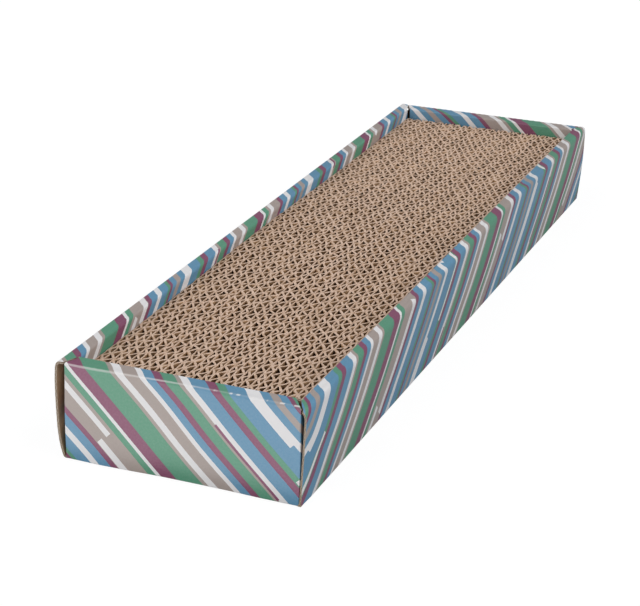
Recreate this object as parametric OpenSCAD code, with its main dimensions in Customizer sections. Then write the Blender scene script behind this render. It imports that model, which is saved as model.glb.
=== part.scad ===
/* [Tray] */
// Outer length of the tray, along Y
tray_len = 480; // [380:5:620]
// Outer width of the tray across its base, along X
tray_w = 126; // [100:1:240]
// Height of the walls
tray_h = 52; // [40:1:80]
// Thickness of the printed board that the tray is folded from
board_t = 1.2; // [0.8:0.1:1.5]
// Clear space kept between two boards that lie side by side
fold_gap = 0.3; // [0.2:0.1:0.4]

/* [Hollow walls] */
// Clear space inside a hollow long wall, beside the flap tucked into it
side_hollow = 0.5; // [0.3:0.1:8]
// Width of a hollow end wall, over both of its boards
end_wall_w = 9.4; // [6:0.1:16]
// How far the long walls lean out at the rim
wall_lean = 2.9; // [0:0.1:4]
// How far the long walls bow out at mid height
wall_bow = 0.8; // [0:0.1:2]
// How far the front left end of the long wall springs open
corner_flare = 3; // [0:0.1:5]
// Length of wall over which that end springs open
flare_len = 70; // [30:1:120]

/* [Flaps and tabs] */
// Length of a corner flap, tucked into the hollow of a long wall
flap_len = 45; // [20:1:60]
// How far a flap stays clear of the creases above and below it
flap_clear = 4; // [2.5:0.1:8]
// How much narrower a flap is at its free edge, above and below
flap_taper = 5; // [1:0.5:8]
// Length of a lock tab
tab_len = 28; // [15:1:40]
// Clear space round a lock tab in its slot
slot_gap = 0.25; // [0.1:0.05:0.5]

/* [Scratching pad] */
// Depth of the pad's surface below the rim of the tray
pad_drop = 7; // [4:0.5:20]
// Clear space between the pad and the walls round it
pad_gap = 0.4; // [0.3:0.1:2]
// Number of double-wall corrugated strips glued side by side
strip_count = 14; // [11:1:17]
// Clear height of the finer fluting of a strip, between two of its three liners
fine_flute_h = 3.1; // [2.6:0.1:3.6]
// Length of one wave of the finer fluting
fine_flute_pitch = 8.2; // [7:0.05:10]
// Length of one wave of the coarser fluting
coarse_flute_pitch = 8.85; // [7:0.05:10]
// Thickness of the flat liner papers, on both sides of each fluting
liner_t = 0.35; // [0.25:0.05:0.5]
// Thickness of the fluted papers, where a crest is glued to a liner
medium_t = 0.4; // [0.3:0.05:0.5]
// Length over which each crest is glued to its liner
crest_w = 0.6; // [0.4:0.05:1]

/* [Hidden] */
SIDES = ["left", "right"];
ENDS = ["front", "back"];
function strip_name(i) = str("pad_strip_", i < 10 ? "0" : "", i);

// Colours of the print, and of the bare brown board
PRINT_BLUE = [0.35, 0.55, 0.68];
PRINT_GREEN = [0.38, 0.63, 0.5];
KRAFT = [0.72, 0.56, 0.4];

// Half width of the end walls, which stand between the long outer walls
end_half_w = tray_w / 2 - board_t - fold_gap;
// Faces of the hollow walls that look into the tray
inner_x = end_half_w - 2 * board_t - side_hollow;
inner_y = tray_len / 2 - end_wall_w;
// Underside of the bands along the rim
band_z = tray_h - board_t;
wall_h = band_z - board_t;
// A tab goes through the base and is rooted as deep again in its wall
tab_h = 2 * board_t;
// Steps that the bowed walls are drawn in, over their height and along the opened end
wall_steps = 10;
flare_steps = 7;
// The opened end keeps its full gap over most of the height: a high even power is flat there
flare_power = 4;

// The block of strips fills the tray but for the clear space round it
pad_w = 2 * (inner_x - pad_gap);
pad_len = 2 * (inner_y - pad_gap);
pad_h = tray_h - pad_drop - board_t;
strip_pitch = pad_w / strip_count;
// The coarser fluting fills what the finer one and the three liners leave of a strip
coarse_flute_h = strip_pitch - 3 * liner_t - fine_flute_h;
// Each layer was cut at another place along its waves
phase_step_share = 0.618;
function cut_phase(layer) = layer * phase_step_share - floor(layer * phase_step_share);

// How far along the opened end a place is: 1 at the very end, 0 where the wall lies true
function opened(y) = let (d = y + tray_len / 2) d < flare_len ? pow(1 - d / flare_len, 2) : 0;

// Distance of a long wall's outer face from the middle of the tray
function wall_out(y, z, flare) =
    tray_w / 2
    + wall_lean * z / tray_h
    + wall_bow * sin(180 * z / tray_h)
    + flare * opened(y) * (1 - pow(2 * z / tray_h - 1, flare_power));

// Places along a long wall where its outline is drawn
function wall_stations(flare) = flare > 0
    ? concat([for (k = [0:flare_steps]) -tray_len / 2 + flare_len * k / flare_steps], [tray_len / 2])
    : [-tray_len / 2, tray_len / 2];

function wall_grid(ys, zs, inset, flare) =
    [for (y = ys) for (z = zs) [wall_out(y, z, flare) - inset, y, z]];

// A long outer wall: one bowed sheet of board, standing on the base
module long_outer_wall(flare) {
    ys = wall_stations(flare);
    zs = [for (k = [0:wall_steps]) board_t + wall_h * k / wall_steps];
    cols = len(zs);
    last = len(ys) - 1;
    n = len(ys) * cols;
    skin = [for (i = [0:last - 1]) for (j = [0:cols - 2])
        let (a = i * cols + j, b = a + 1, c = a + cols + 1, d = a + cols)
        each [[a, b, c], [a, c, d], [a + n, c + n, b + n], [a + n, d + n, c + n]]];
    edges = [for (i = [0:last - 1])
        let (a = i * cols, d = a + cols, b = a + cols - 1, c = b + cols)
        each [[a, d, d + n], [a, d + n, a + n], [c, b, b + n], [c, b + n, c + n]]];
    ends = [for (j = [0:cols - 2])
        let (a = j, b = a + 1, d = last * cols + j, c = d + 1)
        each [[b, a, a + n], [b, a + n, b + n], [d, c, c + n], [d, c + n, d + n]]];
    polyhedron(
        points = concat(wall_grid(ys, zs, 0, flare), wall_grid(ys, zs, board_t, flare)),
        faces = concat(skin, edges, ends)
    );
}

// The flat band along the rim of a long wall, mitred at both ends
module long_top_band(flare) {
    rim = [for (y = wall_stations(flare)) [wall_out(y, band_z, flare), y]];
    mitre = [
        [end_half_w + fold_gap, tray_len / 2],
        [inner_x, inner_y],
        [inner_x, -inner_y],
        [end_half_w + fold_gap, -tray_len / 2]
    ];
    translate([0, 0, band_z]) linear_extrude(board_t) polygon(concat(rim, mitre));
}

// Long inner wall, with two tabs that lock into the base
module long_inner_wall() {
    translate([inner_x, -inner_y, board_t]) cube([board_t, 2 * inner_y, wall_h]);
    for (y = [-inner_y / 2, inner_y / 2])
        translate([inner_x, y - tab_len / 2, 0]) cube([board_t, tab_len, tab_h]);
}

// End outer wall, standing between the ends of the long outer walls
module end_outer_wall() {
    translate([-end_half_w, -tray_len / 2, board_t]) cube([2 * end_half_w, board_t, wall_h]);
}

// The flat band along the rim of an end wall
module end_top_band() {
    translate([0, 0, band_z]) linear_extrude(board_t) polygon([
        [-end_half_w, -tray_len / 2],
        [end_half_w, -tray_len / 2],
        [inner_x - fold_gap, -inner_y],
        [fold_gap - inner_x, -inner_y]
    ]);
}

// End inner wall, with one tab that locks into the base
module end_inner_wall() {
    reach = inner_x + board_t;
    translate([-reach, -inner_y - board_t, board_t]) cube([2 * reach, board_t, wall_h]);
    translate([-tab_len / 2, -inner_y - board_t, 0]) cube([tab_len, board_t, tab_h]);
}

// A flap folded back from the end wall's edge, inside the hollow long wall
module corner_flap() {
    root = -tray_len / 2 + board_t;
    low = flap_clear;
    high = tray_h - flap_clear;
    translate([end_half_w - board_t, 0, 0]) rotate([90, 0, 90]) linear_extrude(board_t) polygon([
        [root, low],
        [root + flap_len, low + flap_taper],
        [root + flap_len, high - flap_taper],
        [root, high]
    ]);
}

// Slots in the base for the tabs of one long wall and of one end wall
module side_slots() {
    for (y = [-inner_y / 2, inner_y / 2])
        translate([inner_x - slot_gap, y - tab_len / 2 - slot_gap, -board_t])
            cube([board_t + 2 * slot_gap, tab_len + 2 * slot_gap, 3 * board_t]);
}

module end_slot() {
    translate([-tab_len / 2 - slot_gap, -inner_y - board_t - slot_gap, -board_t])
        cube([tab_len + 2 * slot_gap, board_t + 2 * slot_gap, 3 * board_t]);
}

// The base is the middle panel of the blank
module base_panel() {
    difference() {
        translate([-tray_w / 2, -tray_len / 2, 0]) cube([tray_w, tray_len, board_t]);
        side_slots();
        mirror([1, 0, 0]) side_slots();
        end_slot();
        mirror([0, 1, 0]) end_slot();
    }
}

// The hollow under one half wave: a triangle with its foot on a liner
module flute_hollow(foot, y, pitch, depth) {
    half_w = (pitch - crest_w) / 2;
    polygon([[foot, y - half_w], [foot, y + half_w], [foot + depth, y]]);
}

// The hollows of one fluting, in turn on the liner before it and on the one behind it
module fluting_hollows(from, flute_h, pitch, phase) {
    depth = flute_h - medium_t;
    for (n = [0:ceil(pad_len / pitch)]) {
        y = (n - phase) * pitch - pad_len / 2;
        flute_hollow(from, y, pitch, depth);
        flute_hollow(from + flute_h, y + pitch / 2, pitch, -depth);
    }
}

// One double-wall strip on edge, with its flutes upright and open above and below
module pad_strip(i) {
    translate([(i - 1) * strip_pitch - pad_w / 2, 0, board_t]) linear_extrude(pad_h) difference() {
        translate([0, -pad_len / 2]) square([strip_pitch, pad_len]);
        fluting_hollows(liner_t, fine_flute_h, fine_flute_pitch, cut_phase(2 * i));
        fluting_hollows(2 * liner_t + fine_flute_h, coarse_flute_h, coarse_flute_pitch, cut_phase(2 * i + 1));
    }
}

color(KRAFT) base_panel();
for (s = [0, 1]) {
    flare = s == 0 ? corner_flare : 0;
    color(PRINT_BLUE) mirror([1 - s, 0, 0]) long_outer_wall(flare);
    color(PRINT_GREEN) mirror([1 - s, 0, 0]) long_top_band(flare);
    color(PRINT_BLUE) mirror([1 - s, 0, 0]) long_inner_wall();
}
for (e = [0, 1]) {
    color(PRINT_GREEN) mirror([0, e, 0]) end_outer_wall();
    color(PRINT_BLUE) mirror([0, e, 0]) end_top_band();
    color(PRINT_GREEN) mirror([0, e, 0]) end_inner_wall();
    for (s = [0, 1])
        color(KRAFT) mirror([1 - s, 0, 0]) mirror([0, e, 0]) corner_flap();
}
for (i = [1:strip_count])
    color(KRAFT) pad_strip(i);
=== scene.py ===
import math

import bmesh
import bpy
import numpy as np
from mathutils import Matrix, Vector


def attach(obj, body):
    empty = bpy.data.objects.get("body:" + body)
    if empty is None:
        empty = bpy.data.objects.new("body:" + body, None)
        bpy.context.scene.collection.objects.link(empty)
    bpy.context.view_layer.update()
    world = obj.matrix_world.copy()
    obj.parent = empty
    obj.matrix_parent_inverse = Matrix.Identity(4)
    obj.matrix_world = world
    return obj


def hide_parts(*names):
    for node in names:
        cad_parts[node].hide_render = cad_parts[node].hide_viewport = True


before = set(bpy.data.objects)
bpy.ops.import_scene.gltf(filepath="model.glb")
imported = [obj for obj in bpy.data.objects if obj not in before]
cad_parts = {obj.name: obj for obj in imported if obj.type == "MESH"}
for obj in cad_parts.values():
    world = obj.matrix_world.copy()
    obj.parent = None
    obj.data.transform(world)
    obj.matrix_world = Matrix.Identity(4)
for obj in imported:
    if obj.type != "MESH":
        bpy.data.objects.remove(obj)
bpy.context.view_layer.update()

# Camera: a long lens a little over a metre from the tray, above its near
# right corner, rolled very slightly, as the photograph is framed.
CAMERA_PLACE = (0.3712, -0.9678, 0.4318)
TURNED_LEFT, LOOKS_DOWN, ROLLED = (math.radians(angle) for angle in (22.401, 22.5044, 0.6593))
camera_data = bpy.data.cameras.new("camera")
camera_data.lens = 106.93
camera_data.sensor_width = 36
camera_data.sensor_fit = "HORIZONTAL"
camera_data.clip_start = 0.05
camera = bpy.data.objects.new("camera", camera_data)
bpy.context.scene.collection.objects.link(camera)
camera.matrix_world = (
    Matrix.Translation(CAMERA_PLACE)
    @ Matrix.Rotation(TURNED_LEFT, 4, "Z")
    @ Matrix.Rotation(math.pi / 2 - LOOKS_DOWN, 4, "X")
    @ Matrix.Rotation(ROLLED, 4, "Z")
)
bpy.context.scene.camera = camera


# Studio: a white paper floor that the film sees burnt out, a broad soft lamp
# in front, one on the right, a lit card on the floor in front that only adds
# sheen, and pale walls all round.
class Wire:
    """One socket of a node tree. Sums on it add Math nodes; node() adds any other kind."""

    def __init__(self, tree, socket=None):
        self.tree, self.socket = tree, socket

    def node(self, kind, settings=None, sockets=None, out=0):
        made = self.tree.nodes.new(kind)
        for key, value in (settings or {}).items():
            setattr(made, key, value)
        for key, value in (sockets or {}).items():
            for one in value if isinstance(value, list) else [value]:
                if isinstance(one, Wire):
                    self.tree.links.new(one.socket, made.inputs[key])
                else:
                    made.inputs[key].default_value = one
        return Wire(self.tree, made.outputs[out]) if made.outputs else None

    def out(self, key):
        """Another output of the same node."""
        return Wire(self.tree, self.socket.node.outputs[key])

    def math(self, operation, *values):
        return self.node("ShaderNodeMath", {"operation": operation}, dict(enumerate(values)))

    def axes(self):
        """The X, Y and Z of this place."""
        split = self.node("ShaderNodeSeparateXYZ", {}, {0: self})
        return [split.out(axis) for axis in "XYZ"]

    def noise(self, scale, detail, distortion=0.0):
        """Noise at this place, from 0 to 1."""
        sockets = {"Vector": self, "Scale": scale, "Detail": detail, "Distortion": distortion}
        return self.node("ShaderNodeTexNoise", {}, sockets)

    def fade(self, low, high):
        """0 where this is at low, 1 where it is at high, and smooth between."""
        sockets = {"Value": self, "From Min": low, "From Max": high}
        return self.node("ShaderNodeMapRange", {"interpolation_type": "SMOOTHSTEP"}, sockets)

    def colour(self, low, high):
        """One colour where this is 0, another where it is 1, and mixed between."""
        low, high = ((*shade, 1) if isinstance(shade, tuple) else shade for shade in (low, high))
        share_socket, low_socket, high_socket, colour_out = 0, 6, 7, 2
        sockets = {share_socket: self, low_socket: low, high_socket: high}
        return self.node("ShaderNodeMix", {"data_type": "RGBA"}, sockets, out=colour_out)

    def blend(self, share, other):
        """This colour, with a share of another one."""
        return share.colour(self, other)

    def __abs__(self):
        return self.math("ABSOLUTE", self)

    def __add__(self, other):
        return self.math("ADD", self, other)

    def __radd__(self, other):
        return self.math("ADD", other, self)

    def __sub__(self, other):
        return self.math("SUBTRACT", self, other)

    def __rsub__(self, other):
        return self.math("SUBTRACT", other, self)

    def __mul__(self, other):
        return self.math("MULTIPLY", self, other)

    def __truediv__(self, other):
        return self.math("DIVIDE", self, other)

    def __rtruediv__(self, other):
        return self.math("DIVIDE", other, self)

    def __lt__(self, other):
        return self.math("LESS_THAN", self, other)


def make_studio_paper():
    """Burnt out where the camera sees it, but for a faint shade. Right of the tray it is painted darker for
    the other rays, a painted shade for the tray's shadow, so it returns less light.
    """
    paper = bpy.data.materials.new("studio_paper")
    paper.use_nodes = True
    paper.node_tree.nodes.clear()
    wire = Wire(paper.node_tree)
    x, y, _ = wire.node("ShaderNodeNewGeometry", out="Position").axes()
    glossy = wire.node("ShaderNodeLightPath", out="Is Glossy Ray")
    # Painted shade: right of the tray the paper's colour is darker for all but camera rays, standing in for
    # the tray's shadow
    painted_shade_right = x.fade(-0.02, 0.07) * y.fade(-0.30, -0.20) * (1 - glossy * 0.85)
    bounce = painted_shade_right.colour((0.66, 0.66, 0.66), (0.26, 0.26, 0.26))
    lit_paper = wire.node("ShaderNodeBsdfDiffuse", {}, {"Color": bounce})
    faint_shade = wire.node("ShaderNodeBsdfDiffuse", {}, {"Color": (0.10, 0.10, 0.10, 1)})
    glow = wire.node("ShaderNodeEmission", {}, {"Color": (1, 1, 1, 1), "Strength": 0.935})
    burnt_out = wire.node("ShaderNodeAddShader", {}, {0: faint_shade, 1: glow})
    to_camera = wire.node("ShaderNodeLightPath", out="Is Camera Ray")
    either = wire.node("ShaderNodeMixShader", {}, {0: to_camera, 1: lit_paper, 2: burnt_out})
    wire.node("ShaderNodeOutputMaterial", {}, {"Surface": either})
    return paper


FLOOR_REACH, FLOOR_Z = 9, -0.0004
floor_corners = [(x * FLOOR_REACH, y * FLOOR_REACH, FLOOR_Z) for x, y in ((-1, -1), (1, -1), (1, 1), (-1, 1))]
floor_mesh = bpy.data.meshes.new("studio_floor")
floor_mesh.from_pydata(floor_corners, [], [(0, 1, 2, 3)])
floor_mesh.materials.append(make_studio_paper())
floor = bpy.data.objects.new("studio_floor", floor_mesh)
bpy.context.scene.collection.objects.link(floor)

for lamp_name, strength, width, colour, toward in (
    ("key_lamp", 1.26, 50, (1.0, 0.99, 0.97), (-0.45, -0.72, 0.63)),
    ("right_lamp", 1.34, 60, (0.98, 0.99, 1.0), (0.78, 0.10, 0.66)),
):
    lamp_data = bpy.data.lights.new(lamp_name, "SUN")
    lamp_data.energy = strength
    lamp_data.angle = math.radians(width)
    lamp_data.color = colour
    lamp = bpy.data.objects.new(lamp_name, lamp_data)
    lamp.rotation_euler = Vector(toward).to_track_quat("Z", "Y").to_euler()
    bpy.context.scene.collection.objects.link(lamp)

sheen_data = bpy.data.lights.new("sheen_lamp", "AREA")
sheen_data.shape = "RECTANGLE"
sheen_data.size = 0.9
sheen_data.size_y = 0.5
sheen_data.energy = 2.9
sheen_lamp = bpy.data.objects.new("sheen_lamp", sheen_data)
sheen_lamp.location = (-0.15, -0.50, 0.0005)
sheen_lamp.rotation_euler = (math.pi, 0, 0)
sheen_lamp.visible_diffuse = False
sheen_lamp.visible_camera = False
bpy.context.scene.collection.objects.link(sheen_lamp)

walls = bpy.data.worlds.new("studio_walls")
walls.use_nodes = True
background = walls.node_tree.nodes["Background"].inputs
background["Color"].default_value = (0.95, 0.97, 1.0, 1)
background["Strength"].default_value = 0.37
bpy.context.scene.world = walls
bpy.context.scene.view_settings.view_transform = "Standard"


# Base panel: the middle of one die-cut blank of thin corrugated board, white
# and printed outside, brown inside. Slots near its edges take the lock tabs,
# and its four edges roll up into the creases of the walls.
MM = 0.001
TRAY_LEN, TRAY_W, TRAY_H, BOARD = 480.0, 126.0, 52.0, 1.2
HALF_LEN, HALF_W = TRAY_LEN / 2, TRAY_W / 2
END_HALF_W = 61.5  # the end walls stand between the long ones
LONG_BAND, END_BAND = 7.3, 9.4  # widths of the bands along the rim
INNER_X, INNER_Y = 58.6, 230.6  # printed faces that look into the tray
ROLL = 0.9  # half the width of an ordinary crease, along the board
NEXT_TO_FOLD = 0.5  # narrow step that keeps a fold's shading off the flat board beside it
TAB_HALF, SLOT_GAP = 14.0, 0.25
BOARD_FLUTE = 3.5  # pitch of the board's own fluting


def new_finish(name):
    """A material with an empty shader tree, its first wire and its surface's sockets."""
    finish = bpy.data.materials.new(name)
    finish.use_nodes = True
    finish.node_tree.nodes.clear()
    wire = Wire(finish.node_tree)
    surface = wire.node("ShaderNodeBsdfPrincipled")
    wire.node("ShaderNodeOutputMaterial", {}, {"Surface": surface})
    return finish, wire, surface.socket.node.inputs


def join(wire, socket):
    wire.tree.links.new(wire.socket, socket)


def emboss(surface, height, strength, distance):
    """Gives a surface the fine relief of a height."""
    sockets = {"Strength": strength, "Distance": distance, "Height": height}
    join(height.node("ShaderNodeBump", {}, sockets), surface["Normal"])


def board_flutes(u):
    """The washboard that the fluting leaves in its liners."""
    return u.math("COSINE", u * (2 * math.pi / (BOARD_FLUTE * MM)))


PLUM, BLUE, TAUPE = (0.222, 0.052, 0.120), (0.102, 0.275, 0.436), (0.385, 0.318, 0.288)
WHITE, GREEN = (0.82, 0.805, 0.81), (0.083, 0.292, 0.180)
# Where each stripe starts across the print, and its ink
STRIPES = (
    (-353, PLUM), (-350.5, BLUE), (-346, TAUPE), (-341.5, BLUE), (-336, WHITE), (-331, BLUE), (-317, GREEN),
    (-312.5, PLUM), (-307, BLUE), (-297.5, WHITE), (-293, TAUPE), (-290, GREEN), (-282.5, PLUM), (-278, BLUE),
    (-272.5, WHITE), (-269.5, TAUPE), (-261.5, WHITE), (-256.7, TAUPE), (-253.6, GREEN), (-239.5, PLUM),
    (-231.3, WHITE), (-228.7, GREEN), (-223.5, TAUPE), (-207, PLUM), (-202.5, BLUE), (-196, WHITE),
    (-191.7, BLUE), (-184, GREEN),
)
FIRST_STRIPE = STRIPES[0][0]
# Bars that start and stop: place across, width, place along, length, ink
BARS = (
    (-331, 3.8, -145, 157.5, WHITE), (-220.4, 4.4, 45, 110.5, WHITE), (-212, 5, 154, 94, WHITE),
    (-316, 3, 33, 68, WHITE), (-293.5, 2, -256, 66, PLUM),
)
# The print comes again after these lengths, across and along it
STRIPE_REPEAT, BAR_REPEAT = 172.0, 226.0


def make_stripes(place, grain, cloud):
    """Ink of the stripes and bars, at 45 degrees over the blank. Two noises unsettle their edges."""
    u, v, _ = place.axes()
    across = v - u + (grain - 0.5) * 0.0003
    along = v + u + (cloud - 0.5) * 0.0002

    def in_repeat(run, start, repeat):
        return run.math("FRACT", (run - start * MM) / (repeat * MM))

    stripes = place.node("ShaderNodeValToRGB", {}, {0: in_repeat(across, FIRST_STRIPE, STRIPE_REPEAT)})
    ramp = stripes.socket.node.color_ramp
    ramp.interpolation = "CONSTANT"
    ramp.elements.remove(ramp.elements[1])
    for number, (at, colour) in enumerate(STRIPES):
        share = (at - FIRST_STRIPE) / STRIPE_REPEAT
        stop = ramp.elements.new(share) if number else ramp.elements[0]
        stop.position = share
        stop.color = (*colour, 1)
    ink = stripes
    for at, width, start, length, colour in BARS:
        in_width = in_repeat(across, at, STRIPE_REPEAT) < width / STRIPE_REPEAT
        in_length = in_repeat(along, start, BAR_REPEAT) < length / BAR_REPEAT
        ink = ink.blend(in_width * in_length, colour)
    return ink


def make_printed_board():
    """Diagonal stripes in matt inks on white-faced board, pale with cracks and a painted highlight on the
    creases, and painted shade on the far half of the rim bands.
    """
    finish, wire, surface = new_finish("printed_board")
    place = wire.node("ShaderNodeUVMap", {"uv_map": "blank"})
    u, v, _ = place.axes()
    grain, cloud = place.noise(900.0, 3.0), place.noise(38.0, 2.0)
    ink = make_stripes(place, grain, cloud)

    # The board's own flutes run along v, so the creases across them have cracks; the pale line along the
    # creases is partly those cracks and partly a painted highlight on the rolled crease: in a line towards
    # the left corner, in a few beads towards the right
    crease_at, crease_slant = 0.2919, 0.016
    beads_at = {"W": u, "Scale": 260.0, "Detail": 1.0}
    beads = wire.node("ShaderNodeTexNoise", {"noise_dimensions": "1D"}, beads_at)
    broken = u.fade(-0.002, 0.028)
    # Partly cracks in the ink, partly a painted highlight along the crease
    cracks_and_highlight = (1 - broken) * 0.42 + broken * (beads.fade(0.54, 0.62) * 0.62 + 0.14)
    on_crease = abs(abs(v) - u * crease_slant - crease_at).fade(0.0010, 0.0002)
    ink = ink.blend(cracks_and_highlight * (cloud * 0.7 + 0.65) * on_crease, (0.88, 0.86, 0.84))

    # Painted shade: the rim bands are darkened a little along the far half of the tray, where their sheen
    # shows a darker surround
    long_band_at = 0.1190
    on_long_band = abs(abs(u) - long_band_at).fade(0.0050, 0.0030)
    on_end_band = v.fade(0.2935, 0.2965)
    painted_shade_far_half = v.fade(0.0, 0.10)
    ink = ink.blend(wire.math("MAXIMUM", on_long_band, on_end_band) * painted_shade_far_half * 0.13, (0.01, 0.01, 0.01))

    join(ink.blend((grain - 0.35) * 0.10, (0.9, 0.9, 0.9)), surface["Base Color"])
    join(cloud * 0.10 + grain * 0.10 + 0.34, surface["Roughness"])
    emboss(surface, board_flutes(u) * 0.35 + grain * 0.5 + cloud * 0.8, strength=0.16, distance=0.0004)
    return finish


def make_brown_liner():
    """Bare brown inner liner: short fibres, a faint washboard from the flutes."""
    finish, wire, surface = new_finish("brown_liner")
    place = wire.node("ShaderNodeUVMap", {"uv_map": "blank"})
    fibres = place.noise(700.0, 4.0, 1.5)
    cloud = place.noise(45.0, 2.0)
    flutes = board_flutes(place.axes()[0]) * 0.5 + 0.5
    brown = fibres.colour((0.24, 0.135, 0.068), (0.45, 0.28, 0.155))
    join(brown.blend(cloud * 0.35 + flutes * 0.14, (0.36, 0.22, 0.115)), surface["Base Color"])
    join(fibres * 0.15 + 0.72, surface["Roughness"])
    emboss(surface, fibres * 0.5 + flutes * 0.6, strength=0.3, distance=0.0004)
    return finish


def make_cut_edge():
    """The board's cut edge: two brown liners with the fluted paper winding between them, and painted shade in
    the open flutes between the papers.
    """
    finish, wire, surface = new_finish("cut_edge")
    place = wire.node("ShaderNodeUVMap", {"uv_map": "blank"})
    along, up, _ = place.axes()
    across = up / (BOARD * MM)
    winding = wire.math("SINE", along * (2 * math.pi / (BOARD_FLUTE * MM))) * 0.3 + 0.5
    fluting = abs(across - winding).fade(0.20, 0.12)
    liners = abs(across - 0.5).fade(0.30, 0.36)
    paper = wire.math("MAXIMUM", fluting, liners)
    fibres = place.noise(2400.0, 3.0)
    light = fibres.colour((0.36, 0.28, 0.20), (0.60, 0.50, 0.40))
    # Painted shade: the open flutes between the papers are painted dark
    dark = fibres.colour((0.16, 0.11, 0.07), (0.30, 0.22, 0.15))
    join(dark.blend(paper, light), surface["Base Color"])
    surface["Roughness"].default_value = 0.9
    emboss(surface, paper + fibres * 0.4, strength=0.5, distance=0.0003)
    return finish


BOARD_FINISHES = (make_printed_board(), make_brown_liner(), make_cut_edge())
PRINTED, LINER, CUT_EDGE = range(3)
BOARD_SHARP_FROM = math.radians(38)  # cut edges stay sharp, folds don't


def fold_corner(sharp, at, half, q, v):
    """Rounds the fold of a sharp profile at one place along the board, over a half width each side."""
    t = np.clip((q - at + half) / (2 * half), 0, 1)[..., None]
    before = sharp(np.minimum(q, at - half), v)
    start, corner, end = (sharp(0 * q + near, v) for near in (at - half, at, at + half))
    after = sharp(np.maximum(q, at + half), v)
    inside = (1 - t) ** 2 * start + 2 * t * (1 - t) * corner + t ** 2 * end
    return np.where(t <= 0, before, np.where(t >= 1, after, inside))


def steps(*runs):
    """Blank places from run to run: (start, end, count) each, without doubles."""
    found = np.concatenate([np.linspace(start, end, count + 1) for start, end, count in runs])
    is_new = np.abs(np.diff(found)) > 1e-6
    return found[np.insert(is_new, 0, True)]


def drop_loose_points(mesh, faces):
    """Removes the points that no face uses, where a cut-out has left squares out."""
    used = np.bincount(np.concatenate(faces), minlength=len(mesh.vertices)) > 0
    if used.all():
        return
    shape = bmesh.new()
    shape.from_mesh(mesh)
    shape.verts.ensure_lookup_table()
    bmesh.ops.delete(shape, geom=[shape.verts[k] for k in np.nonzero(~used)[0]], context="VERTS")
    shape.to_mesh(mesh)
    shape.free()


def cut_and_fold(name, U, V, place, keep=None, crushed=0.0, drift=None):
    """One piece of the blank: a grid of places (U, V) on it, in millimetres, folded by place(U, V), with its
    printed side out, its brown side a board's thickness in, and cut edges where keep leaves squares out.
    The die has crushed the board by that share along its short ends; drift(U, V) is how far the print has
    strayed across its stripes."""
    U, V = np.broadcast_arrays(np.asarray(U, float), np.asarray(V, float))
    crush_reach, nudge = 2.6, 0.05
    from_end = HALF_LEN - np.abs(V)
    thickness = BOARD * (1 - crushed * np.clip(1 - from_end / crush_reach, 0, 1))
    outer = place(U, V)
    normal = -np.cross(place(U + nudge, V) - place(U - nudge, V), place(U, V + nudge) - place(U, V - nudge))
    normal /= np.linalg.norm(normal, axis=-1, keepdims=True)
    inner = outer - thickness[..., None] * normal
    points = np.concatenate([outer.reshape(-1, 3), inner.reshape(-1, 3)]) * MM
    stray = drift(U, V) / 2 if drift else 0 * U
    blank = np.stack([(U + stray).ravel(), (V - stray).ravel()], -1) * MM

    rows, cols = U.shape
    count = rows * cols  # a point's number on the brown side is this much higher than on the printed side
    keep = np.pad(np.ones((rows - 1, cols - 1), bool) if keep is None else keep, 1)
    faces, finishes, uvs = [], [], []

    def add_face(corners, finish, places):
        faces.append(corners)
        finishes.append(finish)
        uvs.extend(places)

    for i, j in zip(*np.nonzero(keep[1:-1, 1:-1])):
        a, d = i * cols + j, i * cols + j + 1
        b, c = a + cols, d + cols
        add_face((a, d, c, b), PRINTED, [blank[k] for k in (a, d, c, b)])
        add_face((a + count, b + count, c + count, d + count), LINER, [blank[k] for k in (a, b, c, d)])
        for p, q, beside, axis in (
            (a, b, keep[i + 1, j], 0), (c, d, keep[i + 1, j + 2], 0),
            (b, c, keep[i + 2, j + 1], 1), (d, a, keep[i, j + 1], 1),
        ):
            if not beside:
                start, end, thick = blank[p][axis], blank[q][axis], BOARD * MM
                places = [(start, 0), (end, 0), (end, thick), (start, thick)]
                add_face((p, q, q + count, p + count), CUT_EDGE, places)

    mesh = bpy.data.meshes.new(name)
    mesh.from_pydata(points.tolist(), [], faces)
    mesh.uv_layers.new(name="blank").data.foreach_set("uv", np.array(uvs, np.float32).ravel())
    mesh.polygons.foreach_set("material_index", finishes)
    mesh.polygons.foreach_set("use_smooth", [True] * len(faces))
    for finish in BOARD_FINISHES:
        mesh.materials.append(finish)
    mesh.set_sharp_from_angle(angle=BOARD_SHARP_FROM)
    drop_loose_points(mesh, faces)
    piece = bpy.data.objects.new(name + "_board", mesh)
    bpy.context.scene.collection.objects.link(piece)
    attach(piece, "tray")
    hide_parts(name)


WALL_LEAN, WALL_BOW = 2.9, 0.8
WALL_WAVE, WALL_WAVE_LEN = 0.16, 31.0  # the panels aren't quite even along the tray
LEFT_FLARE = 0.45  # the left wall leans out a little more, most at the rim
# Measured outline of the sprung near left end: height, distance from the middle
SPRUNG_Z = (0, 1.5, 3.7, 6.9, 10, 16.6, 26.5, 36, 42.5, 49, 52)
SPRUNG_X = (64.6, 65.3, 66.0, 66.7, 67.2, 67.8, 68.1, 68.2, 68.1, 67.6, 66.6)
SPRUNG_REACH = 70.0  # how far along the left wall the sprung end is felt


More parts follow.
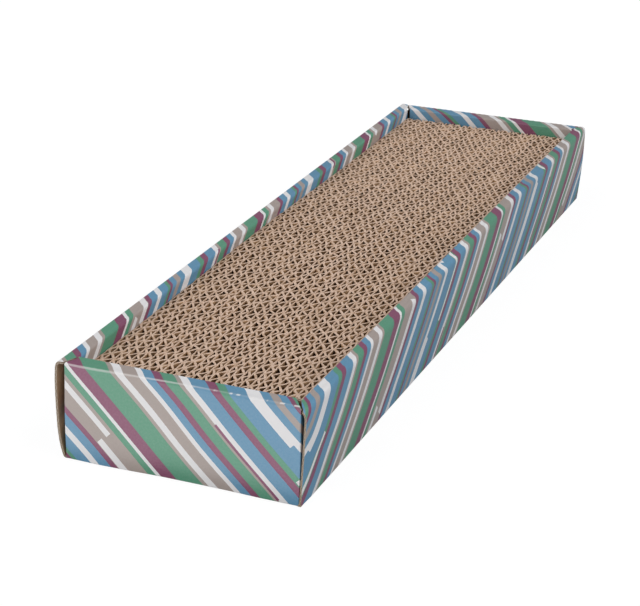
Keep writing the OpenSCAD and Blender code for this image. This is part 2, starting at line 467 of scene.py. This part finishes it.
def wall_out(y, z, side):
    """Distance of a long wall's printed outer face from the middle of the tray."""
    true = HALF_W + WALL_LEAN * z / TRAY_H + WALL_BOW * np.sin(np.pi * z / TRAY_H)
    true = true + WALL_WAVE * np.sin(y / WALL_WAVE_LEN + side) * np.sin(np.pi * z / TRAY_H)
    if side < 0:
        sprung = np.clip(1 - (y + HALF_LEN) / SPRUNG_REACH, 0, 1) ** 2
        true = true + LEFT_FLARE * (z / TRAY_H) ** 3
        return true + sprung * (np.interp(z, SPRUNG_Z, SPRUNG_X) - true)
    # The near end wall holds the right wall in at their corner, and pushes it out just behind
    held = np.interp(y + HALF_LEN, (0, 5, 12, 40, 90, 150), (-1.0, 0.0, 0.5, 0.5, 0.1, 0.0))
    return true + held * np.sin(np.pi * np.clip(z, 3, 49) / TRAY_H) ** 0.5


def end_foot_wave(x, end):
    """The near panel's foot isn't straight: it stands forward near its left corner and back in the middle."""
    wave = np.interp(x, (-63, -45, -25, -11, 23, 40, 63), (-0.3, -0.8, 0, 0.7, 0.7, 0.1, 0))
    return np.where(end < 0, wave, 0)


def place_base(U, V):
    """The base with its edges rolled up as far as the middle of each crease."""
    side = np.where(U < 0, -1, 1)
    end = np.sign(V)
    spread_reach, wave_reach, corner_play = 13, 9, 0.29
    spread = np.where(U < 0, wall_out(V, 0 * V, -1) - HALF_W, 0)
    spread = spread * np.clip((np.abs(U) - (HALF_W - spread_reach)) / spread_reach, 0, 1)

    def sharp(q, _):
        return np.stack([np.minimum(q, 0) + HALF_W + spread, np.maximum(q, 0)], -1)

    def sharp_end(q, u):
        return np.stack([np.minimum(q, 0) + HALF_LEN - end_foot_wave(u, end), np.maximum(q, 0)], -1)

    long_part = fold_corner(sharp, 0, ROLL, np.abs(U) - HALF_W, V)
    end_part = fold_corner(sharp_end, 0, ROLL, np.abs(V) - HALF_LEN, U)
    end_part[..., 0] += end_foot_wave(U, end) * np.clip((HALF_LEN - np.abs(V)) / wave_reach, 0, 1)
    flat_end = np.stack([np.abs(V), 0 * V], -1)
    rolls_up = np.abs(U) <= END_HALF_W - corner_play  # the end creases stop at the corners
    end_part = np.where(rolls_up[..., None], end_part, flat_end)
    z = long_part[..., 1] + end_part[..., 1]
    return np.stack([side * long_part[..., 0], end * end_part[..., 0], z], -1)


def both_sides(*places):
    return [side * place for side in (-1, 1) for place in places]


def make_base():
    slot_x = (INNER_X - SLOT_GAP, INNER_X + BOARD + SLOT_GAP)
    slot_y = (INNER_Y - SLOT_GAP, INNER_Y + BOARD + SLOT_GAP)
    slot_half, slot_at = TAB_HALF + SLOT_GAP, INNER_Y / 2
    rolled = [ROLL * (1 - k / 4) for k in range(5)]
    rolled_x, rolled_y = ([half - back for back in rolled] for half in (HALF_W, HALF_LEN))
    us = {0.0, *both_sides(slot_half, 25.0, 40.0, 50.0, *slot_x, *rolled_x, END_HALF_W)}
    slot_ends = [middle + end for middle in both_sides(slot_at) for end in both_sides(slot_half)]
    vs = {0.0, *slot_ends, *both_sides(30.0, 60.0, 90.0, 150.0, 180.0, 205.0, *slot_y, *rolled_y)}
    u, v = np.array(sorted(us)), np.array(sorted(vs))
    U, V = np.meshgrid(np.abs(u[1:] + u[:-1]) / 2, np.abs(v[1:] + v[:-1]) / 2, indexing="ij")
    in_long_slot = (U > slot_x[0]) & (U < slot_x[1]) & (np.abs(V - slot_at) < slot_half)
    in_end_slot = (V > slot_y[0]) & (V < slot_y[1]) & (U < slot_half)
    cut_and_fold("base_panel", *np.meshgrid(u, v, indexing="ij"), place_base, ~(in_long_slot | in_end_slot))


make_base()


# Long walls: a panel of the blank on each side, folded up and out, over a
# soft rim and down inside, with lock tabs at its foot. The band along the rim
# is mitred for the end walls. The near left end has sprung open.
INNER_ROLL = 1.9
RIM_AT, LONG_IN_AT = TRAY_H, TRAY_H + LONG_BAND
MITRE_FROM = RIM_AT + 4.1
MID_WALL = 20.0  # between the folds at the foot and at the rim


def hump(q, at, reach):
    """1 at a place along the board, falling off smoothly to both sides."""
    return np.exp(-((q - at) / reach) ** 2)


def place_long(side):
    """Where a long wall's blank goes. q runs up it, over the rim and down inside."""

    def sharp(q, v):
        z = np.clip(q, 0, TRAY_H)
        out = wall_out(v, z, side)
        rim = wall_out(v, 0 * z + TRAY_H, side)
        over = np.clip((q - RIM_AT) / LONG_BAND, 0, 1)
        x = np.where(q < RIM_AT, out, rim + over * (INNER_X - rim)) + np.minimum(q, 0)
        return np.stack([x, z - np.maximum(q - LONG_IN_AT, 0)], -1)

    def place(U, V):
        q = np.abs(U) - HALF_W
        if side < 0:
            rim_roll = np.interp(V, (-240, -190, 240), (1.9, 1.3, 1.2))
        else:
            rim_roll = np.interp(V, (-240, -235, -227, -200, 240), (6.6, 5.2, 3.4, 2.9, 3.2))
        at_foot = fold_corner(sharp, 0, ROLL, q, V)
        at_rim = fold_corner(sharp, RIM_AT, rim_roll, q, V)
        at_inner = fold_corner(sharp, LONG_IN_AT, INNER_ROLL, q, V)
        above = np.where((q < LONG_IN_AT - INNER_ROLL)[..., None], at_rim, at_inner)
        xz = np.where((q < MID_WALL)[..., None], at_foot, above)
        # The band sags a little, more here and less there
        sag = 0.25 * hump(q, RIM_AT + 4.2, 1.6) * (1 + 0.5 * np.sin(V / 17.0 + side))
        if side > 0:  # the near end of the rim is pressed down over its corner
            pressed = np.clip((q - 34) / 16, 0, 1) * (q < LONG_IN_AT)
            sag = sag + 0.9 * np.exp(-(V + HALF_LEN) / 5) * pressed
        return np.stack([side * xz[..., 0], V, xz[..., 1] - sag], -1)

    return place


def drift_long(side):
    """How far the print has strayed on a long wall, from what the photograph shows of its stripes."""

    def drift(U, V):
        q, y = np.abs(U) - HALF_W, V + HALF_LEN
        if side < 0:
            band = np.interp(y, (0, 150, 300, 440), (-0.5, -0.5, -2.2, -4.0))
            inner = np.interp(y, (0, 60, 200, 440), (-0.5, -1.0, -2.8, -1.2))
            return band + np.interp(q, (RIM_AT + 5, LONG_IN_AT + 2), (0, 1)) * inner
        near_end_to = 60
        near_end = np.interp(y, (8, 20, 35), (3.2, 2.8, 0.6)) * (y < near_end_to)
        near_end = near_end * np.interp(q, (12, 24, 36), (1, 0.2, 1))
        foot = np.interp(q, (2, 14), (2, 0))
        in_repeat = (V - U - FIRST_STRIPE) % STRIPE_REPEAT
        by_stripe = np.interp(in_repeat, (0, 8, 30, 50, 160, 172), (3.2, 4.0, 3.6, 0.4, 0, 3.2))
        beyond = by_stripe * (y > near_end_to)
        along = np.interp(y, (40, 70, 130, 170, 320, 480), (-0.4, -1.1, -0.9, -0.1, 0.2, 0.5))
        wall = near_end + foot + beyond + along
        band = np.interp(y, (0, 30, 60, 120, 480), (1.3, 0.8, -0.3, -1.6, -2.6))
        return wall + np.interp(q, (RIM_AT - 3, RIM_AT + 2), (0, 1)) * (band - wall)

    return drift


def make_long_wall(side):
    word = "left" if side < 0 else "right"
    crushed = 0.15 if side > 0 else 0.0
    place, drift = place_long(side), drift_long(side)

    def lay(q, V):
        """The grid of a panel, with the blank's u rising along it."""
        V = np.broadcast_to(V, (len(q), np.shape(V)[-1]))
        U = np.broadcast_to(side * (HALF_W + q)[:, None], V.shape)
        return (U[::-1], V[::-1]) if side < 0 else (U, V)

    foot_to = ROLL + NEXT_TO_FOLD
    outer_q = steps((0, ROLL, 4), (ROLL, foot_to, 1), (foot_to, RIM_AT - 6, 12), (RIM_AT - 6, RIM_AT, 9))
    near_far = steps(
        (-240, -237, 4), (-237, -225, 6), (-225, -170, 10), (-170, 210, 48), (210, 237, 4), (237, 240, 3)
    )
    cut_and_fold(word + "_outer_wall", *lay(outer_q, near_far[None]), place, None, crushed, drift)

    fold_from = LONG_IN_AT - INNER_ROLL
    band_q = steps((RIM_AT, MITRE_FROM, 8), (MITRE_FROM, fold_from, 2), (fold_from, LONG_IN_AT, 4))
    if side > 0:
        near = np.interp(band_q, (52.8, 56.1, 59.3), (240, 237, 231.6))
    else:
        near = np.interp(band_q, (54.9, 59.3), (240, 229.8))
    far = np.interp(band_q, (MITRE_FROM, LONG_IN_AT), (HALF_LEN, INNER_Y))
    band_v = np.where(near_far < 0, near[:, None], far[:, None]) * near_far / HALF_LEN
    cut_and_fold(word + "_top_band", *lay(band_q, band_v), place, None, crushed, drift)

    fold_to, foot = LONG_IN_AT + INNER_ROLL, LONG_IN_AT + TRAY_H - BOARD
    inner_q = steps((LONG_IN_AT, fold_to, 4), (fold_to, foot, 8), (foot, foot + BOARD, 1))
    tab_marks = [middle + end for middle in both_sides(INNER_Y / 2) for end in both_sides(TAB_HALF)]
    inner_v = np.array(sorted({*np.round(np.linspace(-INNER_Y, INNER_Y, 47), 4), *tab_marks}))
    keep = np.ones((len(inner_q) - 1, len(inner_v) - 1), bool)
    keep[-1] = np.abs(np.abs((inner_v[1:] + inner_v[:-1]) / 2) - INNER_Y / 2) < TAB_HALF
    keep = keep[::-1] if side < 0 else keep
    cut_and_fold(word + "_inner_wall", *lay(inner_q, inner_v[None]), place, keep, drift=drift)


make_long_wall(-1)
make_long_wall(1)


# End walls: the blank's short panels, folded the same way between the long
# ones. Their folds run across the board's flutes, which leaves the rim beaded,
# and their upright edges turn back into the corner flaps.
END_RIM_ROLL, END_INNER_ROLL, UPRIGHT_ROLL = 1.3, 1.0, 0.8
END_IN_AT = TRAY_H + END_BAND
FLAP_CLEARANCE = 0.25
BEAD_HEIGHT, BEAD_PITCH = 0.12, 3.9
BAND_DIP, PANEL_BELLY = 0.35, 0.22


def eased(U, q):
    """How far the near panel's upright edges stand outside their true place, most at the sprung corner."""
    z = np.clip(q, 0, TRAY_H)
    left = np.interp(z, (0, 13, 26, 40, TRAY_H), (2.0, 2.15, 2.0, 1.4, 0.8))
    right = np.interp(z, (0, 25, TRAY_H), (0.1, 0.8, 0.8))
    past = np.abs(U) - END_HALF_W
    flap_reach, panel_reach, turn_reach = 43, 17, 7
    share = np.clip(1 - np.where(past > 0, past / flap_reach, -past / panel_reach), 0, 1) ** 2
    moved = np.where(U < 0, left, right) * share * np.clip((RIM_AT + 3 - q) / 4, 0, 1)
    # The flap behind the sprung corner leans out until it lies on the wall
    against = wall_out(past - HALF_LEN, z, -1) - BOARD - FLAP_CLEARANCE - END_HALF_W
    turn = np.clip(past / turn_reach, 0, 1)
    leaning = turn ** 2 * (3 - 2 * turn)
    return np.where((U < 0) & (past > 0), moved + leaning * (against - moved), moved)


def place_end(end):
    """Where an end wall's blank goes, flaps and all. q runs up it, over the rim and down inside."""

    def sharp(q, u):
        z = np.clip(q, 0, TRAY_H)
        wave = end_foot_wave(u, end) * np.exp(-z / 9)
        y = HALF_LEN + np.minimum(q, 0) - wave - np.clip(q - RIM_AT, 0, END_BAND)
        return np.stack([y, z - np.maximum(q - END_IN_AT, 0)], -1)

    def upright(q, _):
        return np.stack([np.minimum(q, 0) + END_HALF_W, np.maximum(q, 0)], -1)

    def place(U, V):
        q = np.abs(V) - HALF_LEN
        at_foot = fold_corner(sharp, 0, ROLL, q, U)
        at_rim = fold_corner(sharp, RIM_AT, END_RIM_ROLL, q, U)
        at_inner = fold_corner(sharp, END_IN_AT, END_INNER_ROLL if end < 0 else 2 * END_INNER_ROLL, q, U)
        above = np.where((q < RIM_AT + END_BAND / 2)[..., None], at_rim, at_inner)
        yz = np.where((q < MID_WALL)[..., None], at_foot, above)
        turned = fold_corner(upright, 0, UPRIGHT_ROLL, np.abs(U) - END_HALF_W, V)
        fade = np.clip((RIM_AT - END_RIM_ROLL - q) / 3, 0, 1)
        x = turned[..., 0] * fade + np.abs(U) * (1 - fade) + eased(U, q) * (end < 0)
        back = turned[..., 1] * fade
        beads = 0.5 + 0.5 * np.cos(U * 2 * np.pi / BEAD_PITCH + 1.5 * np.sin(U / 9))
        bead = BEAD_HEIGHT * hump(q, RIM_AT + 0.3, 1.3) * beads
        dip = BAND_DIP * hump(q, RIM_AT + 5, 2.4) * (0.6 + 0.4 * np.sin(U / 11 + end))
        belly = PANEL_BELLY * np.sin(np.pi * np.clip(q / TRAY_H, 0, 1)) * np.sin(U / 14 + 2 * end + 0.6)
        y = yz[..., 0] - back - bead + belly
        return np.stack([np.sign(U) * x, end * y, yz[..., 1] - bead - dip], -1)

    return place


def drift_end(end):
    """How far the print has strayed on an end wall, from what the photograph shows of its stripes."""

    def drift(U, V):
        q = np.abs(V) - HALF_LEN
        if end > 0:
            near_rim = np.interp(q, (RIM_AT - 30, RIM_AT), (0, 1))
            return np.interp(U, (-54, -36, -20, 54), (0, -1, -4, -3)) * near_rim
        bow = np.interp(q, (0, 10, 20, 30, 40, 48), (2.0, 1.8, 1.4, 0.3, -0.9, -1.3)) * np.exp(-(U / 28) ** 2)
        wall = bow - 1.2 * np.exp(-(U + END_HALF_W) / 7) + 0.7 * np.exp((U - END_HALF_W) / 14)
        band = np.interp(U, (-54, -40, -20, 30, 45, 60), (-1.8, -2.5, -2.9, -2.9, -1.6, -1.5))
        return wall + np.interp(q, (RIM_AT - 1.5, RIM_AT + 6), (0, 1)) * (band - wall)

    return drift


def make_end_wall(end):
    word = "front" if end < 0 else "back"
    place, drift = place_end(end), drift_end(end)

    def lay(q, U):
        """The grid of a panel, with the blank's v rising along it."""
        V = np.broadcast_to(end * (HALF_LEN + q)[None], (np.shape(U)[0], len(q)))
        U = np.broadcast_to(U, V.shape)
        return (U[:, ::-1], V[:, ::-1]) if end < 0 else (U, V)

    foot_to, rim_from = ROLL + NEXT_TO_FOLD, RIM_AT - END_RIM_ROLL
    outer_q = steps(
        (0, ROLL, 4), (ROLL, foot_to, 1), (foot_to, rim_from - NEXT_TO_FOLD, 12),
        (rim_from - NEXT_TO_FOLD, rim_from, 1), (rim_from, RIM_AT, 5),
    )
    edge = END_HALF_W - UPRIGHT_ROLL
    across = steps((-END_HALF_W, -edge, 4), (-edge, edge, 120), (edge, END_HALF_W, 4))[:, None]
    cut_and_fold(word + "_outer_wall", *lay(outer_q, across), place, drift=drift)

    rim_to, fold_from = RIM_AT + END_RIM_ROLL, END_IN_AT - END_INNER_ROLL
    band_q = steps((RIM_AT, rim_to, 5), (rim_to, fold_from, 5), (fold_from, END_IN_AT, 4))
    left_edge = right_edge = INNER_X + BOARD
    left_reach = right_reach = np.interp(band_q, (RIM_AT, END_IN_AT), (END_HALF_W, INNER_X - 0.3))
    if end < 0:
        right_reach = np.interp(band_q - RIM_AT, (0, 4.55, END_BAND), (END_HALF_W, 59.2, 55.4))
    else:  # the far wall leaves a dark gap in its left corner
        left_edge = INNER_X - 1.7
        left_reach = np.interp(band_q, (RIM_AT, END_IN_AT), (END_HALF_W, left_edge))
    band_u = across / END_HALF_W * np.where(across > 0, right_reach, left_reach)
    cut_and_fold(word + "_top_band", *lay(band_q, band_u), place, drift=drift)

    fold_to, foot = END_IN_AT + END_INNER_ROLL, END_IN_AT + TRAY_H - BOARD
    inner_q = steps((END_IN_AT, fold_to, 4), (fold_to, foot, 8), (foot, foot + BOARD, 1))
    inner_u = np.array(sorted({*np.round(np.linspace(-left_edge, right_edge, 61), 4), *both_sides(TAB_HALF)}))
    keep = np.ones((len(inner_u) - 1, len(inner_q) - 1), bool)
    keep[:, -1] = np.abs((inner_u[1:] + inner_u[:-1]) / 2) < TAB_HALF
    keep = keep[:, ::-1] if end < 0 else keep
    cut_and_fold(word + "_inner_wall", *lay(inner_q, inner_u[:, None]), place, keep, drift=drift)


make_end_wall(-1)
make_end_wall(1)


# Corner flaps: tongues on the upright edges of the end walls, turned back
# through a right angle and tucked into the hollow of the long walls. They hold
# the corners and show only as a dark gap.
FLAP_LEN, FLAP_LOW, FLAP_HIGH, FLAP_TAPER = 43.8, 4.0, 48.0, 5.0


def make_flap(end, side):
    name = ("front" if end < 0 else "back") + ("_left" if side < 0 else "_right") + "_flap"
    out = steps((0, UPRIGHT_ROLL, 4), (UPRIGHT_ROLL, 16, 8), (16, FLAP_LEN, 6))
    up = np.linspace(0, 1, 9)
    narrow = np.interp(out, (UPRIGHT_ROLL, FLAP_LEN), (0, FLAP_TAPER))[:, None]
    q = FLAP_LOW + narrow + up[None] * (FLAP_HIGH - FLAP_LOW - 2 * narrow)
    U = np.broadcast_to((side * (END_HALF_W + out))[:, None], q.shape)
    V = end * (HALF_LEN + q)
    # Keeps the blank's u and v rising along the grid
    U, V = U[::side, ::end], V[::side, ::end]
    cut_and_fold(name, U, V, place_end(end))


for end in (-1, 1):
    for side in (-1, 1):
        make_flap(end, side)


# Scratching pad: 14 strips of double-wall corrugated board, standing on edge
# with the flutes upright and glued face to face. The saw has left the paper
# edges thick, pale and ragged, and pressed between the end walls the pad arches.
STRIP_COUNT, PAD_W, PAD_LEN, PAD_H = 14, 116.4, 460.4, 43.8
STRIP_PITCH = PAD_W / STRIP_COUNT
MIDDLE_LINER_AT = 3.65  # from a strip's left side to the middle of its middle liner
FINE_PITCH, COARSE_PITCH = 8.2, 8.85
LINER_THICK, MIDDLE_LINER_THICK, FLUTING_THICK = 0.40, 0.63, 0.82
RAGGEDNESS, ARCH_HEIGHT = 0.3, 1.8
LINER_ROWS, FLUTED_ROWS = 300, 527  # of points along each sheet
STRIP_SHARP_FROM = math.radians(50)


def make_strip_paper():
    """Recycled brown paper, paler and rougher where the saw went through, with painted shade deep in the
    flutes and painted light towards the far end.
    """
    finish, wire, surface = new_finish("kraft_strip")
    place = wire.node("ShaderNodeTexCoord", out="Object")
    x, y, _ = place.axes()
    cut = wire.node("ShaderNodeAttribute", {"attribute_name": "cut"}, out="Fac")
    fibres = place.noise(900.0, 4.0, 1.2)
    cloud = place.noise(60.0, 3.0)
    wall = fibres.colour((0.30, 0.165, 0.075), (0.52, 0.325, 0.18))

    # Inside the pad the walls are painted lighter towards the far end, painted light that weakens their shade
    # there, and darker with depth, a painted shade deep in the flutes. Its four outer sides stay brown
    inside = abs(x).fade(0.0580, 0.0577) * abs(y).fade(0.2295, 0.2250)
    # Painted light: the walls inside are lighter towards the far end
    wall = wall.blend(y.fade(-0.02, 0.18) * inside * 0.5, (0.64, 0.42, 0.26))
    # Painted shade: the paper darkens deep down in the flutes
    wall = wall.blend(cut.fade(0.0, -0.55) * inside * 0.92, (0.105, 0.034, 0.007))

    edge = fibres.colour((0.58, 0.41, 0.305), (0.88, 0.665, 0.535))
    worn = place.noise(420.0, 2.0).fade(0.68, 0.42)
    paper = wall.blend(cut.fade(0.25, 0.95) * (worn * 0.55 + 0.45), edge)

    # Each strip has a tone of its own
    row = wire.math("FLOOR", x / (STRIP_PITCH * MM) + 100)
    strip_tone = wire.node("ShaderNodeTexWhiteNoise", {"noise_dimensions": "1D"}, {"W": row})
    paper = paper.blend(strip_tone * 0.16 + (cloud - 0.5) * 0.35, (0.36, 0.23, 0.145))
    join(paper, surface["Base Color"])
    surface["Roughness"].default_value = 0.88
    surface["Specular IOR Level"].default_value = 0.08
    emboss(surface, fibres, strength=0.5, distance=0.0004)
    return finish


def make_strip_tree():
    """Geometry nodes for one strip: three liners, with two layers of fluted paper between them."""
    tree = bpy.data.node_groups.new("corrugated_strip", "GeometryNodeTree")
    tree.interface.new_socket("Strip", in_out="OUTPUT", socket_type="NodeSocketGeometry")
    tree.interface.new_socket("Row", in_out="INPUT", socket_type="NodeSocketInt")
    for name in (
        "Middle", "Base", "Strip Length", "Strip Height", "Strip Pitch", "Middle Liner At",
        "Fine Pitch", "Coarse Pitch", "Fine Phase", "Coarse Phase",
        "Liner", "Middle Liner", "Fluting", "Raggedness", "Arch",
    ):
        tree.interface.new_socket(name, in_out="INPUT", socket_type="NodeSocketFloat")
    tree.interface.new_socket("Paper", in_out="INPUT", socket_type="NodeSocketMaterial")
    wire = Wire(tree)
    given = wire.node("NodeGroupInput")
    row, middle, base, length = (given.out(key) for key in ("Row", "Middle", "Base", "Strip Length"))
    height, pitch = given.out("Strip Height"), given.out("Strip Pitch")
    liner, middle_liner, fluting = (given.out(key) for key in ("Liner", "Middle Liner", "Fluting"))
    ragged = given.out("Raggedness")
    x, y, z = wire.node("GeometryNodeInputPosition").axes()

    def noise(scale, seed):
        """Noise along a sheet, about zero. Sheets with the same seed bend alike."""
        at = wire.node("ShaderNodeCombineXYZ", {}, {0: 0.0, 1: y, 2: z})
        sockets = {"Vector": at, "W": seed, "Scale": scale, "Detail": 1.0}
        return wire.node("ShaderNodeTexNoise", {"noise_dimensions": "4D"}, sockets) - 0.5

    # Rows of points crowd towards the top and bottom edges, where the saw cut
    crowding = 3.6
    rise = z / (height * 0.5)
    crowded = 1 - wire.math("POWER", 1 - abs(rise), crowding)
    new_z = wire.math("SIGN", rise) * crowded * (height * 0.5)
    cut = abs(rise).fade(0.7, 0.99)
    bent = abs(rise).fade(0.3, 0.99)
    # The arch is highest a little on the near side of the middle, and dies away towards the right
    crown_at, crown_reach = -0.025, 0.100
    from_crown = (y - crown_at) / crown_reach
    to_right = middle.fade(0.0, 0.065)
    arch = given.out("Arch") * wire.math("EXPONENT", 0 - from_crown * from_crown) * (1 - to_right * 0.75)

    def sheet(thickness, rows):
        """A flat sheet that knows how near the saw each point is: 1 at its edges, -2 halfway between."""
        size = wire.node("ShaderNodeCombineXYZ", {}, {0: thickness, 1: length, 2: height})
        sockets = {"Size": size, "Vertices X": 2, "Vertices Y": rows, "Vertices Z": 7}
        flat = wire.node("GeometryNodeMeshCube", {}, sockets)
        return wire.node(
            "GeometryNodeStoreNamedAttribute", {"data_type": "FLOAT", "domain": "POINT"},
            {"Geometry": flat, "Name": "cut", "Value": abs(rise) * 3 - 2},
        )

    def settle(flat, new_x, new_y, tag):
        """Moves the points of a sheet to their places, with its saw-cut edges torn up and down."""
        teeth, waves = noise(620.0, row * 3.1 + tag) * 3.2, noise(130.0, row * 1.7 + tag) * 3.0
        up = new_z + (teeth + waves) * cut * ragged + arch + height * 0.5 + base
        new_place = wire.node("ShaderNodeCombineXYZ", {}, {0: new_x + middle, 1: new_y, 2: up})
        return wire.node("GeometryNodeSetPosition", {}, {"Geometry": flat, "Position": new_place})

    def bends(line):
        """Strips glued side by side share the bends of their glue line."""
        slow, quick = noise(75.0, line * 5.3) * 3.2, noise(240.0, line * 2.9) * bent * 3.6
        return (slow + quick) * ragged

    def liner_sheet(thickness, at, tag):
        swollen = 1 + cut * 0.25
        return settle(sheet(thickness, LINER_ROWS), at + x * swollen, y, tag)

    def fluted_sheet(low, high, flute, phase, tag):
        """Fluted paper that fills what two liners leave, a wave uneven in pitch and lean."""
        steeper, pressed_in = 0.08, 0.03 * MM
        angle = (y / flute + phase) * (2 * math.pi)
        angle = angle + noise(28.0, row * 7.7 + tag) * 3.0 + noise(130.0, row * 6.1 + tag) * 3.0
        crest = (high - low - fluting) * 0.5 + pressed_in
        wave = (wire.math("SINE", angle) - wire.math("SINE", angle * 3) * steeper) / (1 + steeper)
        turning = wire.math("COSINE", angle) - wire.math("COSINE", angle * 3) * (3 * steeper)
        slope = turning / (1 + steeper) * crest * (2 * math.pi) / flute
        square = 1 / wire.math("SQRT", slope * slope + 1)
        frayed = noise(330.0, row * 5.9 + tag) * 2.0 + 0.5
        thick = x * (1 + cut * frayed)
        lean = noise(90.0, row * 4.1 + tag) * 2.6
        wobble = noise(330.0, row * 9.3 + tag) * bent * ragged * 4.0 * (1 - wave * wave)
        new_x = (low + high) * 0.5 + wave * crest + thick * square + wobble
        new_y = y - thick * square * slope + wave * crest * lean
        limit = length * 0.5
        new_y = wire.math("MAXIMUM", wire.math("MINIMUM", new_y, limit), 0 - limit)
        return settle(sheet(fluting, FLUTED_ROWS), new_x, new_y, tag)

    half, middle_half = liner * 0.5, middle_liner * 0.5
    left = bends(row) + half - pitch * 0.5
    centre = bends(row + 40.5) + given.out("Middle Liner At") - pitch * 0.5
    right = bends(row + 1) - half + pitch * 0.5
    fine, coarse = ((given.out(word + " Pitch"), given.out(word + " Phase")) for word in ("Fine", "Coarse"))
    sheets = [
        liner_sheet(liner, left, 11.0),
        liner_sheet(middle_liner, centre, 12.0),
        liner_sheet(liner, right, 13.0),
        fluted_sheet(left + half, centre - middle_half, *fine, 17.0),
        fluted_sheet(centre + middle_half, right - half, *coarse, 23.0),
    ]
    joined = wire.node("GeometryNodeJoinGeometry", {}, {"Geometry": sheets})
    real = wire.node("GeometryNodeRealizeInstances", {}, {"Geometry": joined})
    papered = wire.node("GeometryNodeSetMaterial", {}, {"Geometry": real, "Material": given.out("Paper")})
    wire.node("NodeGroupOutput", {}, {"Strip": papered})
    return tree


def make_strip(number, tree, paper, chance):
    name = f"pad_strip_{number:02d}"
    uncut = bpy.data.objects.new("uncut_" + name, bpy.data.meshes.new("uncut_" + name))
    bpy.context.scene.collection.objects.link(uncut)
    maker = uncut.modifiers.new("corrugated_strip", "NODES")
    maker.node_group = tree
    sockets = {s.name: s.identifier for s in tree.interface.items_tree if s.in_out == "INPUT"}
    for key, value in {
        "Row": number, "Middle": ((number - 0.5) * STRIP_PITCH - PAD_W / 2) * MM, "Base": BOARD * MM,
        "Strip Length": PAD_LEN * MM, "Strip Height": PAD_H * MM, "Strip Pitch": STRIP_PITCH * MM,
        "Middle Liner At": MIDDLE_LINER_AT * MM,
        "Fine Pitch": FINE_PITCH * MM * chance.uniform(0.98, 1.04), "Fine Phase": chance.random(),
        "Coarse Pitch": COARSE_PITCH * MM * chance.uniform(0.985, 1.015), "Coarse Phase": chance.random(),
        "Liner": LINER_THICK * MM, "Middle Liner": MIDDLE_LINER_THICK * MM, "Fluting": FLUTING_THICK * MM,
        "Raggedness": RAGGEDNESS * MM, "Arch": ARCH_HEIGHT * MM, "Paper": paper,
    }.items():
        maker[sockets[key]] = value
    mesh = bpy.data.meshes.new_from_object(uncut.evaluated_get(bpy.context.evaluated_depsgraph_get()))
    bpy.data.objects.remove(uncut)
    mesh.name = name
    mesh.polygons.foreach_set("use_smooth", [True] * len(mesh.polygons))
    mesh.set_sharp_from_angle(angle=STRIP_SHARP_FROM)
    strip = bpy.data.objects.new(name + "_paper", mesh)
    bpy.context.scene.collection.objects.link(strip)
    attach(strip, "pad")
    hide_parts(name)


strip_paper, strip_tree = make_strip_paper(), make_strip_tree()
strip_chance = np.random.default_rng(5)
for number in range(1, STRIP_COUNT + 1):
    make_strip(number, strip_tree, strip_paper, strip_chance)
